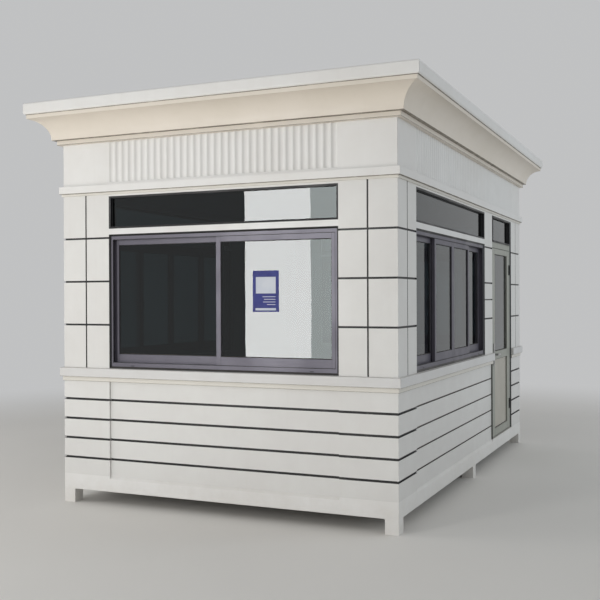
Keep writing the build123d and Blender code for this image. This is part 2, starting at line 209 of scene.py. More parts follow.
def between_levels(tree, levels):
    """A mask of what lies between two heights."""
    height = parts_of(tree, on_object(tree))["Z"]
    return product(tree, above(tree, height, levels[0]), below(tree, height, levels[1]))


def noise(tree, scale, detail=3.0, rough=0.55, vector=None):
    inputs = {
        "Vector": vector or on_object(tree), "Scale": scale, "Detail": detail, "Roughness": rough
    }
    return place(tree, "TexNoise", inputs)["Fac"]


def stretched(tree, scale):
    """Object coordinates pulled out along the small scales."""
    inputs = {"Vector": on_object(tree), "Scale": scale}
    return place(tree, "Mapping", inputs)[0]


def shared(inputs, outputs):
    """Turns a function that builds an effect into a node group with the function's name."""
    def build(make):
        group = bpy.data.node_groups.new(make.__name__, "ShaderNodeTree")
        for label, kind, default in inputs:
            socket = group.interface.new_socket(label, in_out="INPUT", socket_type=kind)
            socket.default_value = default
        for label, kind in outputs:
            group.interface.new_socket(label, in_out="OUTPUT", socket_type=kind)
        given = group.nodes.new("NodeGroupInput").outputs
        feed(group, group.nodes.new("NodeGroupOutput"), make(group, given))
        return group
    return build


def use_group(tree, group, inputs=None):
    """Places a shared effect and gives back its outputs."""
    return place(tree, "Group", inputs, node_tree=group)


# Effects that several finishes share

FLOAT = "NodeSocketFloat"
VECTOR = "NodeSocketVector"


@shared([("Peel Scale", FLOAT, 320.0)], [("Tone", FLOAT), ("Height", FLOAT), ("Sheen", FLOAT)])
def sprayed_skin(tree, given):
    """The fine orange peel of sprayed paint, and slow changes of tone over a panel."""
    slow = product(tree, noise(tree, 0.9, 4.0, 0.6), 0.7)
    quick = product(tree, noise(tree, 7.0, 3.0, 0.6), 0.3)
    return {
        "Tone": ramp(tree, maths(tree, "ADD", slow, quick), 0.35, 0.65),
        "Height": noise(tree, given["Peel Scale"], 2.0, 0.5),
        "Sheen": ramp(tree, noise(tree, 2.6, 5.0, 0.65), 0.3, 0.7),
    }


@shared([("Radius", FLOAT, 0.002), ("Wear", FLOAT, 0.5)], [("Normal", VECTOR), ("Mask", FLOAT)])
def softened_edge(tree, given):
    """Edges rounded by thick paint, and a mask of where they are rubbed."""
    rounded = place(tree, "Bevel", {"Radius": given["Radius"]}, samples=4)[0]
    inputs = {0: rounded, 1: face_normal(tree)}
    turn = place(tree, "VectorMath", inputs, operation="DOT_PRODUCT")["Value"]
    bend = ramp(tree, maths(tree, "SUBTRACT", 1.0, turn), 0.02, 0.25)
    broken = ramp(tree, noise(tree, 24.0, 5.0, 0.7), 0.48, 0.66)
    return {"Normal": rounded, "Mask": product(tree, bend, broken, given["Wear"])}


@shared([("Dust", FLOAT, 0.5), ("Splash", FLOAT, 0.3), ("Streaks", FLOAT, 0.1)], [("Mask", FLOAT)])
def settled_dust(tree, given):
    """Dust on what faces up, a haze of splashes near the ground, and faint streaks of rain."""
    facing_up = ramp(tree, parts_of(tree, face_normal(tree))["Z"], 0.4, 0.95)
    patches = ramp(tree, noise(tree, 2.4, 7.0, 0.62), 0.25, 0.75, 0.5, 1.0)
    settled = product(tree, facing_up, patches, given["Dust"])
    height = parts_of(tree, on_object(tree))["Z"]
    low = ramp(tree, height, 0.0, SPLASH_HEIGHT, 1.0, 0.0)
    haze = ramp(tree, noise(tree, 6.0, 6.0, 0.7), 0.3, 0.75, 0.3, 1.0)
    splash = product(tree, maths(tree, "POWER", low, 2.2), haze, given["Splash"])
    runs = noise(tree, 1.0, 4.0, 0.6, stretched(tree, (26.0, 26.0, 0.9)))
    runs = product(tree, ramp(tree, runs, 0.54, 0.74), given["Streaks"])
    return {"Mask": maths(tree, "ADD", maths(tree, "ADD", settled, splash), runs, clamp=True)}


@shared([], [("Depth", FLOAT), ("Facing", FLOAT)])
def depth_behind_wall(tree, _):
    """How far a place lies behind the booth's outer wall face, and how squarely it faces out."""
    spot = parts_of(tree, on_object(tree))
    normal = parts_of(tree, face_normal(tree))
    behind_x = maths(tree, "SUBTRACT", HALF_WIDTH, maths(tree, "ABSOLUTE", spot["X"]))
    behind_y = maths(tree, "SUBTRACT", HALF_DEPTH, maths(tree, "ABSOLUTE", spot["Y"]))
    on_side = below(tree, behind_x, behind_y)
    on_end = maths(tree, "SUBTRACT", 1.0, on_side)
    facing_x = product(tree, maths(tree, "ABSOLUTE", normal["X"]), on_side)
    facing_y = product(tree, maths(tree, "ABSOLUTE", normal["Y"]), on_end)
    return {
        "Depth": maths(tree, "MINIMUM", behind_x, behind_y),
        "Facing": maths(tree, "ADD", facing_x, facing_y),
    }


@shared(
    [("Near", FLOAT, 0.0006), ("Far", FLOAT, 0.012)],
    [("Mask", FLOAT), ("Upright", FLOAT), ("Lip", FLOAT)],
)
def joint_mask(tree, given):
    """A mask of the joints cut into the wall, between two depths behind its outer face.

    Below the sill only the level board joints count, so the step beside the boards stays pale.
    Above it Upright picks out the joints that run up the tiles. Lip is the darkened edge of the
    level joints on the faces that look outwards: dirt and painted shade beside the joint.
    """
    wall = use_group(tree, depth_behind_wall)
    past_near = above(tree, wall["Depth"], given["Near"])
    before_far = below(tree, wall["Depth"], given["Far"])
    faces_out = above(tree, wall["Facing"], 0.5)
    height = parts_of(tree, on_object(tree))["Z"]
    over_boards = above(tree, height, BOARDS_TOP)
    from_first = maths(tree, "SUBTRACT", height, BOARDS_BOTTOM + FIRST_BOARD)
    from_board = maths(tree, "PINGPONG", from_first, BOARD_PITCH / 2)
    in_joint = below(tree, from_board, JOINT_HALF)
    counts = maths(tree, "MAXIMUM", in_joint, over_boards)
    from_sill = maths(tree, "SUBTRACT", height, SILL_TOP)
    from_tile = maths(tree, "PINGPONG", from_sill, TILE_PITCH / 2)
    upright = above(tree, from_tile, JOINT_HALF)
    under_sill = below(tree, height, BOARDS_TOP - BOARD_PITCH / 4)
    board_lip = product(tree, below(tree, from_board, BOARD_LIP_HALF), under_sill)
    tile_levels = (SILL_TOP + TILE_PITCH / 2, BELT_FOOT - TILE_PITCH / 2)
    among_tiles = between_levels(tree, tile_levels)
    tile_lip = product(tree, below(tree, from_tile, TILE_LIP_HALF), among_tiles)
    lip = maths(tree, "MAXIMUM", board_lip, tile_lip)
    return {
        "Mask": product(tree, past_near, before_far, counts),
        "Upright": product(tree, upright, faces_out, over_boards),
        "Lip": product(tree, lip, faces_out, before_far),
    }


@shared([("Along", VECTOR, (400.0, 400.0, 6.0))], [("Height", FLOAT), ("Tone", FLOAT)])
def drawn_metal(tree, given):
    """The fine lines that drawing and brushing leave along a metal piece."""
    return {
        "Height": noise(tree, 1.0, 3.0, 0.6, stretched(tree, given["Along"])),
        "Tone": ramp(tree, noise(tree, 11.0, 5.0, 0.7), 0.3, 0.7),
    }


DUST_COLOUR = srgb(184, 175, 160)
JOINT_COLOUR = srgb(16, 16, 18)
# Upright joints take a lighter grey than level ones: painted light on their sides
LIT_UPRIGHT_JOINT_COLOUR = srgb(100, 98, 95)
# Thin seams between mouldings: sealant, and painted shade under each step
SEAM_SEALANT_AND_SHADE_COLOUR = srgb(134, 126, 114)
SEAM_HALF = 0.0019

# Faces deeper behind the wall's face than this look into the room or onto the roof
INNER_FACES = 0.03

# Painted shade in the flutes, darker where the face lies deeper: its colour, its strength and the
# depths over which it grows
FLUTE_SHADE_COLOUR = srgb(168, 166, 164)
FLUTE_SHADE_SHARE = 0.12
FLUTE_DEPTHS = (0.0004, 0.0034)

# How much lighter an edge is where it is rubbed, and rubber where it is chalky
RUBBED = 1.12
CHALKY = 1.8

# Every finish by its name
finishes = {}


def new_material(name):
    """An empty material with its shader, kept by its name."""
    material = bpy.data.materials.new(name)
    material.use_nodes = True
    tree = material.node_tree
    tree.nodes.clear()
    shader = tree.nodes.new("ShaderNodeBsdfPrincipled")
    leave = tree.nodes.new("ShaderNodeOutputMaterial")
    tree.links.new(shader.outputs[0], leave.inputs["Surface"])
    finishes[name] = material
    return tree, shader


def dress(tree, shader, tint, gloss, height, depth, strength=1.0, normal=None):
    """Gives a shader its colour, its roughness and its relief."""
    relief = {"Strength": strength, "Distance": depth, "Height": height}
    if normal:
        relief["Normal"] = normal
    bump = place(tree, "Bump", relief)[0]
    feed(tree, shader, {"Base Color": tint, "Roughness": gloss, "Normal": bump})


def dusted(tree, tint, dust, splash, streaks):
    """A colour under settled dust, and the mask of that dust."""
    inputs = {"Dust": dust, "Splash": splash, "Streaks": streaks}
    mask = use_group(tree, settled_dust, inputs)["Mask"]
    return mixed(tree, mask, tint, DUST_COLOUR), mask


def lighter(colour, times):
    return tuple(min(1.0, times * value) for value in colour[:3]) + (1.0,)


def outer_side(tree):
    """A mask that leaves out the faces that look into the room or onto the roof."""
    depth = use_group(tree, depth_behind_wall)["Depth"]
    return below(tree, depth, INNER_FACES)


def seam_sealant_and_shade(tree, heights):
    """A broken mask of the thin seams where mouldings meet: sealant and painted shade."""
    height = parts_of(tree, on_object(tree))["Z"]
    lines = 0.0
    for level in heights:
        lines = maths(tree, "MAXIMUM", near(tree, height, level, SEAM_HALF), lines)
    broken = ramp(tree, noise(tree, 9.0, 4.0, 0.7), 0.3, 0.55, 0.55, 1.0)
    return product(tree, lines, broken, outer_side(tree))


def painted(name, colour, shade, rough, edge=0.002, wear=0.3, dust=(0.5, 0.2, 0.03), peel=320.0,
            peel_depth=0.00012, joint=None, joint_colour=JOINT_COLOUR, lips=True, cream_and_bounce=(),
            seams=(), flutes=False, metallic=0.0):
    """Sprayed paint or powder coat: slow tone changes, orange peel, rubbed edges and dust.

    joint gives the depths of the dark joints behind the wall's face, lips darkens the edges of the
    level ones with dirt and painted shade, cream_and_bounce the heights of the mouldings with their
    two warmer shades, partly cream paint and partly painted warm bounce light, and seams the
    heights where mouldings meet, painted dark as sealant and shade. The carved flutes hold a
    painted shade that darkens with depth.
    """
    tree, shader = new_material(name)
    skin = use_group(tree, sprayed_skin, {"Peel Scale": peel})
    edges = use_group(tree, softened_edge, {"Radius": edge, "Wear": wear})
    tint = mixed(tree, skin["Tone"], colour, shade)
    # Mouldings: cream paint mixed with painted warm bounce light
    for levels, warm_colour, warm_shade in cream_and_bounce:
        warm = mixed(tree, skin["Tone"], warm_colour, warm_shade)
        inside = product(tree, between_levels(tree, levels), outer_side(tree))
        tint = mixed(tree, inside, tint, warm)
    tint = mixed(tree, edges["Mask"], tint, lighter(colour, RUBBED))
    tint, grime = dusted(tree, tint, *dust)
    # Painted shade in the carved flutes, darker with depth
    if flutes:
        depth = use_group(tree, depth_behind_wall)["Depth"]
        film = ramp(tree, depth, *FLUTE_DEPTHS, 0.0, FLUTE_SHADE_SHARE)
        film = product(tree, film, between_levels(tree, FLUTE_LEVELS))
        tint = mixed(tree, film, tint, FLUTE_SHADE_COLOUR)
    if seams:
        # Seams: sealant and painted shade where mouldings meet
        tint = mixed(tree, seam_sealant_and_shade(tree, seams), tint, SEAM_SEALANT_AND_SHADE_COLOUR)
    if joint:
        joints = use_group(tree, joint_mask, {"Near": joint[0], "Far": joint[1]})
        # Lips: dirt and painted shade along the level joints
        if lips:
            tint = mixed(tree, joints["Lip"], tint, joint_colour)
        # Upright joints lighter: painted light falling on their sides
        dark = mixed(tree, joints["Upright"], joint_colour, LIT_UPRIGHT_JOINT_COLOUR)
        tint = mixed(tree, joints["Mask"], tint, dark)
    gloss = ramp(tree, skin["Sheen"], 0.0, 1.0, rough - 0.05, rough + 0.06)
    gloss = maths(tree, "ADD", gloss, product(tree, grime, 0.3), clamp=True)
    dress(tree, shader, tint, gloss, skin["Height"], peel_depth, normal=edges["Normal"])
    shader.inputs["Metallic"].default_value = metallic


def bare_metal(name, colour, shade, rough, along, dust=0.5):
    """Drawn or brushed metal without paint."""
    tree, shader = new_material(name)
    lines = use_group(tree, drawn_metal, {"Along": along})
    edges = use_group(tree, softened_edge, {"Radius": 0.001, "Wear": 0.6})
    tint, _ = dusted(tree, mixed(tree, lines["Tone"], colour, shade), dust, 0.2, 0.0)
    gloss = ramp(tree, lines["Height"], 0.3, 0.7, rough - 0.07, rough + 0.1)
    dress(tree, shader, tint, gloss, lines["Height"], 0.00006, normal=edges["Normal"])
    shader.inputs["Metallic"].default_value = 1.0


def moulded_rubber(name, colour, rough):
    """Black gasket rubber and sealant, a little chalky where dust sits."""
    tree, shader = new_material(name)
    skin = use_group(tree, sprayed_skin, {"Peel Scale": 600.0})
    tint = mixed(tree, skin["Tone"], colour, lighter(colour, CHALKY))
    tint, _ = dusted(tree, tint, 0.2, 0.1, 0.03)
    gloss = ramp(tree, skin["Sheen"], 0.0, 1.0, rough - 0.1, rough + 0.1)
    dress(tree, shader, tint, gloss, skin["Height"], 0.0001, 0.6)


def tinted_glass(name, colour, shade):
    """Dark tinted float glass, faintly wavy, with a film of dust where rain has dried."""
    tree, shader = new_material(name)
    film = use_group(tree, settled_dust, {"Dust": 0.0, "Splash": 0.0, "Streaks": 0.25})["Mask"]
    tint = mixed(tree, ramp(tree, noise(tree, 0.8), 0.35, 0.65), colour, shade)
    dress(tree, shader, tint, product(tree, film, 0.12), noise(tree, 1.6, 1.0, 0.4), 0.002, 0.3)
    shader.inputs["Transmission Weight"].default_value = 1.0
    shader.inputs["IOR"].default_value = 1.5


def sheet_vinyl(name):
    """Speckled grey vinyl."""
    tree, shader = new_material(name)
    specks = ramp(tree, noise(tree, 160.0, 4.0, 0.8), 0.45, 0.58)
    tint = mixed(tree, specks, srgb(118, 113, 108), srgb(160, 156, 150))
    tint, _ = dusted(tree, tint, 0.3, 0.0, 0.0)
    gloss = ramp(tree, noise(tree, 6.0), 0.3, 0.7, 0.4, 0.6)
    dress(tree, shader, tint, gloss, noise(tree, 300.0), 0.0002, 0.5)


def in_box(tree, centre, half):
    """A mask of a rectangle on a sheet that faces the front, from its middle and half sizes."""
    spot = parts_of(tree, on_object(tree))
    across = near(tree, spot["X"], centre[0], half[0])
    return product(tree, across, near(tree, spot["Z"], centre[1], half[1]))


def printed_sheet(name):
    """A blue printed sheet with a pale field and a pale foot, and no lettering."""
    tree, shader = new_material(name)
    fade = ramp(tree, noise(tree, 9.0), 0.3, 0.7)
    tint = mixed(tree, fade, srgb(36, 42, 116), srgb(44, 52, 128))
    pale = mixed(tree, fade, srgb(206, 210, 218), srgb(196, 201, 212))
    fields = [((NOTICE_CENTRE_X, NOTICE_CENTRE_Z + up), half) for up, half in NOTICE_FIELDS]
    for i, half in enumerate(BAR_HALVES):
        middle = (NOTICE_CENTRE_X + BAR_EDGE - half, NOTICE_CENTRE_Z - FIRST_BAR - BAR_PITCH * i)
        fields.append((middle, (half, BAR_HALF_HEIGHT)))
    for centre, half in fields:
        tint = mixed(tree, in_box(tree, centre, half), tint, pale)
    gloss = ramp(tree, noise(tree, 30.0), 0.3, 0.7, 0.55, 0.68)
    dress(tree, shader, tint, gloss, noise(tree, 18.0, 2.0), 0.0004, 0.4)


# Finishes

WALL_WHITE = srgb(223, 222, 219)
WALL_SHADE = srgb(218, 216, 213)
# Warmer tones of the mouldings: partly cream paint, partly painted warm light bounced up from the
# ground
CREAM_AND_BOUNCE = srgb(226, 217, 205)
CREAM_AND_BOUNCE_SHADE = srgb(221, 212, 199)
FILLET_CREAM_AND_BOUNCE = srgb(224, 220, 212)
FILLET_CREAM_AND_BOUNCE_SHADE = srgb(219, 215, 206)
# Lighter joints on the right side: painted sunlight on that side
SUNLIT_SIDE_JOINT_COLOUR = srgb(84, 77, 70)

# The depths behind the wall's face between which the joints of the tiles and boards are dark
POST_JOINT = (0.0006, 0.0124)
BOARD_JOINT = (0.0154, 0.0256)

# The fine skin of powder coat
POWDER = {"peel": 900.0, "peel_depth": 0.00005}

BED_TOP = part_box("cornice_front")[0].z
BED_FOOT = BED_TOP - 0.036
LIP_TOP = BED_TOP + 0.192
BELT_FILLET_TOP = BELT_FOOT + 0.019
BELT_TOP = BELT_FOOT + 0.076
SILL_FILLET_TOP = BOARDS_TOP + 0.034

FLUTE_LEVELS = (BELT_TOP + 0.02, BED_FOOT)

# Bands of the mouldings that take the warmer tones: cream paint and painted warm bounce light
COVE_CREAM = ((BED_TOP - 0.001, LIP_TOP + 0.0005), CREAM_AND_BOUNCE, CREAM_AND_BOUNCE_SHADE)
BED_CREAM = ((BED_FOOT - 0.0002, BED_TOP + 0.001), CREAM_AND_BOUNCE, CREAM_AND_BOUNCE_SHADE)
BELT_CREAM = ((BELT_FOOT - 0.001, BELT_FILLET_TOP), FILLET_CREAM_AND_BOUNCE, FILLET_CREAM_AND_BOUNCE_SHADE)
SILL_CREAM = ((BOARDS_TOP - 0.001, SILL_FILLET_TOP), FILLET_CREAM_AND_BOUNCE, FILLET_CREAM_AND_BOUNCE_SHADE)

painted("post_paint", WALL_WHITE, WALL_SHADE, 0.42, joint=POST_JOINT)
painted("board_paint", WALL_WHITE, WALL_SHADE, 0.42, joint=BOARD_JOINT)
# Right side boards: joints painted lighter, and no dark lips, as if in sunlight
painted(
    "sunlit_side_board_paint", WALL_WHITE, WALL_SHADE, 0.42, joint=BOARD_JOINT,
    joint_colour=SUNLIT_SIDE_JOINT_COLOUR, lips=False
)
painted(
    "frieze_paint", srgb(229, 228, 226), srgb(224, 222, 219), 0.45, edge=0.0025,
    cream_and_bounce=(BED_CREAM, BELT_CREAM), seams=(BELT_FILLET_TOP, BED_FOOT + 0.002, BED_TOP), flutes=True
)
painted("rail_paint", srgb(226, 226, 225), WALL_SHADE, 0.38)
painted(
    "cornice_paint", srgb(228, 227, 225), srgb(223, 221, 218), 0.44, edge=0.003,
    dust=(0.3, 0.0, 0.04), cream_and_bounce=(COVE_CREAM,), seams=(BED_TOP, LIP_TOP)
)
painted(
    "sill_paint", srgb(216, 215, 214), srgb(211, 209, 207), 0.44, edge=0.003,
    dust=(0.35, 0.0, 0.03), cream_and_bounce=(SILL_CREAM,), seams=(BOARDS_TOP, SILL_FILLET_TOP)
)
painted(
    "base_paint", srgb(234, 233, 231), srgb(228, 226, 223), 0.36, wear=0.6, dust=(0.6, 0.3, 0.03)
)
painted(
    "underside_paint", srgb(190, 188, 184), srgb(170, 166, 160), 0.5, wear=0.5, dust=(0.6, 0.5, 0.1)
)
painted(
    "window_coat", srgb(98, 95, 106), srgb(90, 87, 98), 0.38, edge=0.0012, wear=0.35,
    dust=(0.25, 0.0, 0.0), metallic=0.25, **POWDER
)
painted(
    "trim_coat", srgb(34, 34, 38), srgb(42, 42, 46), 0.4, edge=0.0012, dust=(0.3, 0.0, 0.05),
    metallic=0.2, **POWDER
)
painted(
    "door_coat", srgb(160, 162, 153), srgb(153, 155, 146), 0.4, edge=0.0015, wear=0.4,
    dust=(0.3, 0.2, 0.02), metallic=0.2, **POWDER
)
painted("door_sheet", srgb(184, 179, 168), srgb(177, 172, 161), 0.42, dust=(0.4, 0.3, 0.03))
painted(
    "hinge_enamel", srgb(30, 30, 32), srgb(40, 38, 38), 0.35, edge=0.0008, wear=0.9,
    dust=(0.3, 0.1, 0.0)
)
painted(
    "latch_enamel", srgb(38, 38, 40), srgb(46, 46, 48), 0.32, edge=0.0008, wear=0.8,
    dust=(0.2, 0.0, 0.0)
)
painted("ceiling_coat", srgb(232, 232, 230), srgb(226, 226, 224), 0.5, dust=(0.0, 0.0, 0.0))
painted(
    "trim_white", srgb(228, 227, 224), srgb(222, 221, 217), 0.34, edge=0.0015, wear=0.2,
    dust=(0.3, 0.0, 0.0)
)
painted(
    "roof_coat", srgb(194, 196, 196), srgb(182, 184, 184), 0.45, dust=(0.4, 0.0, 0.05), metallic=0.3
)
bare_metal("scuffed_alloy", srgb(196, 196, 194), srgb(170, 170, 168), 0.35, (400.0, 8.0, 400.0))
bare_metal("satin_steel", srgb(186, 186, 186), srgb(166, 166, 166), 0.3, (400.0, 12.0, 400.0))
bare_metal("zinc_screw", srgb(176, 176, 172), srgb(150, 150, 146), 0.38, (300.0, 300.0, 300.0))
bare_metal(
    "flashing_zinc", srgb(182, 186, 188), srgb(156, 160, 162), 0.42, (30.0, 30.0, 30.0), dust=0.7
)
moulded_rubber("seal_rubber", srgb(24, 24, 26), 0.6)
moulded_rubber("black_sealant", srgb(12, 12, 15), 0.45)
tinted_glass("booth_glass", srgb(84, 99, 102), srgb(76, 92, 96))
sheet_vinyl("floor_vinyl")
printed_sheet("notice_print")

finish_of = {
    "feet": "base_paint",
    "floor_joists": "underside_paint",
    "floor_panel": "floor_vinyl",
    "ceiling_panel": "ceiling_coat",
    "roof_deck": "roof_coat",
    "wall_piers": "post_paint",
    "transom_rails": "rail_paint",
    "transom_frames": "trim_coat",
    "window_frames": "window_coat",
    "window_sashes": "window_coat",
    "window_panes": "booth_glass",
    "door_jambs": "door_coat",
    "door_head": "door_coat",
    "door_threshold": "scuffed_alloy",
    "door_stops": "seal_rubber",
    "door_leaf": "door_coat",
    "door_glass": "booth_glass",
    "door_panel": "door_sheet",
    "door_handle": "satin_steel",
    "hinge_plates": "hinge_enamel",
    "hinge_leaves": "hinge_enamel",
}
for side in ("front", "right", "back", "left"):
    finish_of[f"base_rail_{side}"] = "base_paint"
    finish_of[f"lower_wall_{side}"] = "sunlit_side_board_paint" if side == "right" else "board_paint"
    finish_of[f"sill_belt_{side}"] = "sill_paint"
    finish_of[f"frieze_{side}"] = "frieze_paint"
    finish_of[f"cornice_{side}"] = "cornice_paint"
for corner in ("front_left", "front_right", "back_left", "back_right"):
    finish_of[f"corner_post_{corner}"] = "post_paint"

for name, node in nodes.items():
    node.data.materials.clear()
    node.data.materials.append(finishes[finish_of[name]])


# Helpers for the pieces


def add_object(name, data):
    made = bpy.data.objects.new(name, data)
    bpy.context.scene.collection.objects.link(made)
    return made


def add_mesh(name, shape, finish):
    """Turns a bmesh into an object with a finish."""
    mesh = bpy.data.meshes.new(name)
    shape.to_mesh(mesh)
    shape.free()
    mesh.materials.append(finishes[finish])
    return add_object(name, mesh)


def keep(name, shape, finish, body):
    """Turns a bmesh into a piece of the booth that rides on a body."""
    bmesh.ops.recalc_face_normals(shape, faces=shape.faces)
    piece = add_mesh(name, shape, finish)
    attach(piece, body)


def solids_of(node_name):
    """The box of each separate solid in a node, as (lowest corner, highest corner)."""
    shape = bmesh.new()
    shape.from_mesh(nodes[node_name].data)
    bmesh.ops.remove_doubles(shape, verts=shape.verts, dist=1e-5)
    left = set(shape.verts)
    boxes = []
    while left:
        reached = {left.pop()}
        front = list(reached)
        while front:
            for edge in front.pop().link_edges:
                for vertex in edge.verts:
                    if vertex in left:
                        left.discard(vertex)
                        reached.add(vertex)
                        front.append(vertex)
        low = Vector([min(v.co[i] for v in reached) for i in range(3)])
        high = Vector([max(v.co[i] for v in reached) for i in range(3)])
        boxes.append((low, high))
    shape.free()
    return sorted(boxes, key=lambda box: tuple(round(c, 4) for c in (*box[0], *box[1])))


def thin_axis(low, high):
    return min(range(3), key=lambda i: high[i] - low[i])


def outer_face(low, high, axis):
    """Which way is out of the booth along an axis, and where the outer face lies."""
    outward = math.copysign(1, low[axis] + high[axis])
    return outward, high[axis] if outward > 0 else low[axis]


def spot_at(axis, level, across, z):
    """A point given by its place across a wall and its height."""
    spot = Vector((across, across, z))
    spot[axis] = level
    return spot


def add_block(shape, corner, far, ease=0.0):
    """A block between two opposite corners, with its edges eased."""
    centre = (corner + far) / 2
    size = [abs(a - b) for a, b in zip(corner, far)]
    stretch = Matrix.Translation(centre) @ Matrix.Diagonal((*size, 1.0))
    made = bmesh.ops.create_cube(shape, size=1.0, matrix=stretch)
    if ease:
        edges = dict.fromkeys(edge for vertex in made["verts"] for edge in vertex.link_edges)
        bmesh.ops.bevel(
            shape, geom=list(edges), offset=ease, offset_type="OFFSET", affect="EDGES",
            segments=2, profile=0.5, material=-1,
        )


def add_plate(shape, axis, level, rise, across, z, width, height, ease=0.0):
    """A block on a face of a wall, from its middle and its size."""
    corner = spot_at(axis, level, across - width / 2, z - height / 2)
    far = spot_at(axis, level + rise, across + width / 2, z + height / 2)
    add_block(shape, corner, far, ease)


def spread(first, last, count):
    """Evenly spaced places from the first to the last."""
    return [first + (last - first) * i / (count - 1) for i in range(count)]


def turned_to(axis, outward):
    """The turn that points local Z out along an axis."""
    direction = Vector()
    direction[axis] = outward
    return Vector((0, 0, 1)).rotation_difference(direction).to_matrix().to_4x4()


def add_disc(shape, spot, axis, outward, radius, top_radius, rise, sides=SCREW_SIDES):
    """A low round or six-sided head that stands out of a face; gives back its top face."""
    placed = Matrix.Translation(spot) @ turned_to(axis, outward)
    made = bmesh.ops.create_cone(
        shape, cap_ends=True, segments=sides, radius1=radius, radius2=top_radius, depth=rise,
        matrix=placed @ Matrix.Translation((0, 0, rise / 2)),
    )
    faces = dict.fromkeys(face for vertex in made["verts"] for face in vertex.link_faces)
    caps = [face for face in faces if len(face.verts) == sides]
    return max(caps, key=lambda face: outward * face.calc_center_median()[axis])


def add_screw(shape, spot, axis, outward, radius, rise):
    """A low round screw head with a sunk socket."""
    top = add_disc(shape, spot, axis, outward, radius, SCREW_TOP * radius, rise)
    bmesh.ops.inset_region(shape, faces=[top], thickness=SOCKET_WALL * radius)
    for vertex in top.verts:
        vertex.co[axis] -= outward * SOCKET_DEPTH * rise


def add_ring(shape, corners, width):
    """A flat ring inside four corners; gives back its faces and its inner edges."""
    face = shape.faces.new([shape.verts.new(corner) for corner in corners])
    face.normal_update()
    inset = bmesh.ops.inset_region(
        shape, faces=[face], thickness=width, use_boundary=True, use_even_offset=True
    )
    inner = list(face.edges)
    bmesh.ops.delete(shape, geom=[face], context="FACES_ONLY")
    return inset["faces"], inner


def rim(shape, low, high, axis, level, outward, width, rise, lean=0.4):
    """A closed strip round the inside edge of a rectangle that faces along an axis."""
    first, second = (i for i in range(3) if i != axis)
    corners = []
    for u, v in ((low, low), (high, low), (high, high), (low, high)):
        spot = Vector()
        spot[first], spot[second], spot[axis] = u[first], v[second], level
        corners.append(spot)
    ring, _ = add_ring(shape, corners, width)
    raised = bmesh.ops.extrude_face_region(shape, geom=ring, use_keep_orig=True)
    centre = (low + high) / 2
    for vertex in raised["geom"]:
        if not isinstance(vertex, bmesh.types.BMVert):
            continue
        vertex.co[axis] += outward * rise
        for i in (first, second):
            from_edge = (high[i] - low[i]) / 2 - abs(vertex.co[i] - centre[i])
            if from_edge > width / 2:
                vertex.co[i] += math.copysign(lean * width, vertex.co[i] - centre[i])


# Seals of the windows and the door


def make_gaskets(name, node_name, width, body):
    """Rubber round both faces of every pane of a node."""
    shape = bmesh.new()
    for low, high in solids_of(node_name):
        axis = thin_axis(low, high)
        rim(shape, low, high, axis, low[axis], -1, width, GASKET_RISE)
        rim(shape, low, high, axis, high[axis], 1, width, GASKET_RISE)
    keep(name, shape, "seal_rubber", body)


def make_sealant():
    """A black bead where each window frame and top light meets the wall."""
    shape = bmesh.new()
    for node_name in ("window_frames", "transom_frames"):
        for low, high in solids_of(node_name):
            axis = thin_axis(low, high)
            outward, level = outer_face(low, high, axis)
            wall_face = HALF_WIDTH if axis == 0 else HALF_DEPTH
            rise = min(BEAD_RISE, wall_face - abs(level) - SHORT_OF_FACE)
            rim(shape, low, high, axis, level, outward, BEAD_WIDTH, rise, lean=BEAD_LEAN)
    keep("frame_sealant", shape, "black_sealant", "booth")


def make_door_sealant():
    """The bead up both sides and over the head of the door's frame."""
    low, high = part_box("door_jambs")
    low, high = low.copy(), high.copy()
    low.z -= 2 * BEAD_WIDTH
    shape = bmesh.new()
    rim(shape, low, high, 0, high.x, 1, BEAD_WIDTH, BEAD_RISE, lean=BEAD_LEAN)
    cut = bmesh.ops.bisect_plane(
        shape, geom=shape.verts[:] + shape.edges[:] + shape.faces[:],
        plane_co=(0, 0, BOARDS_BOTTOM + 0.001), plane_no=(0, 0, 1), clear_inner=True,
    )
    rims = [edge for edge in cut["geom_cut"] if isinstance(edge, bmesh.types.BMEdge)]
    bmesh.ops.holes_fill(shape, edges=rims, sides=8)
    keep("door_frame_sealant", shape, "black_sealant", "booth")


def make_pile_strips():
    """Black pile along the lips of each window frame, in and out: weatherstrip and painted shadow.
    """
    shape = bmesh.new()
    for low, high in solids_of("window_frames"):
        axis = thin_axis(low, high)
        inner_low, inner_high = low.copy(), high.copy()
        inner_low[1 - axis] += FRAME_JAMB
        inner_high[1 - axis] -= FRAME_JAMB
        inner_low.z += FRAME_SILL
        inner_high.z -= FRAME_HEAD
        for level, out in ((high[axis], 1), (low[axis], -1)):
            start = level - out * (FRAME_LIP + SHORT_OF_FACE)
            rim(shape, inner_low, inner_high, axis, start, out, PILE_WIDTH, PILE_RISE, lean=0.0)
    keep("pile_strips", shape, "seal_rubber", "booth")


make_gaskets("pane_gaskets", "window_panes", GASKET_WIDTH, "booth")
make_gaskets("door_pane_gasket", "door_glass", DOOR_GASKET_WIDTH, "door")
make_gaskets("door_panel_gasket", "door_panel", DOOR_GASKET_WIDTH, "door")
make_sealant()
make_door_sealant()
make_pile_strips()


# Details of the sashes and frames

HAIRLINE_WIDTH = 0.0012
HAIRLINE_RISE = 0.00015


def add_hairline(shape, axis, level, outward, across, z0, z1):
    """A butt joint between two extrusions, seen as a thin dark line."""
    rise = outward * HAIRLINE_RISE
    add_plate(shape, axis, level, rise, across, (z0 + z1) / 2, HAIRLINE_WIDTH, z1 - z0)


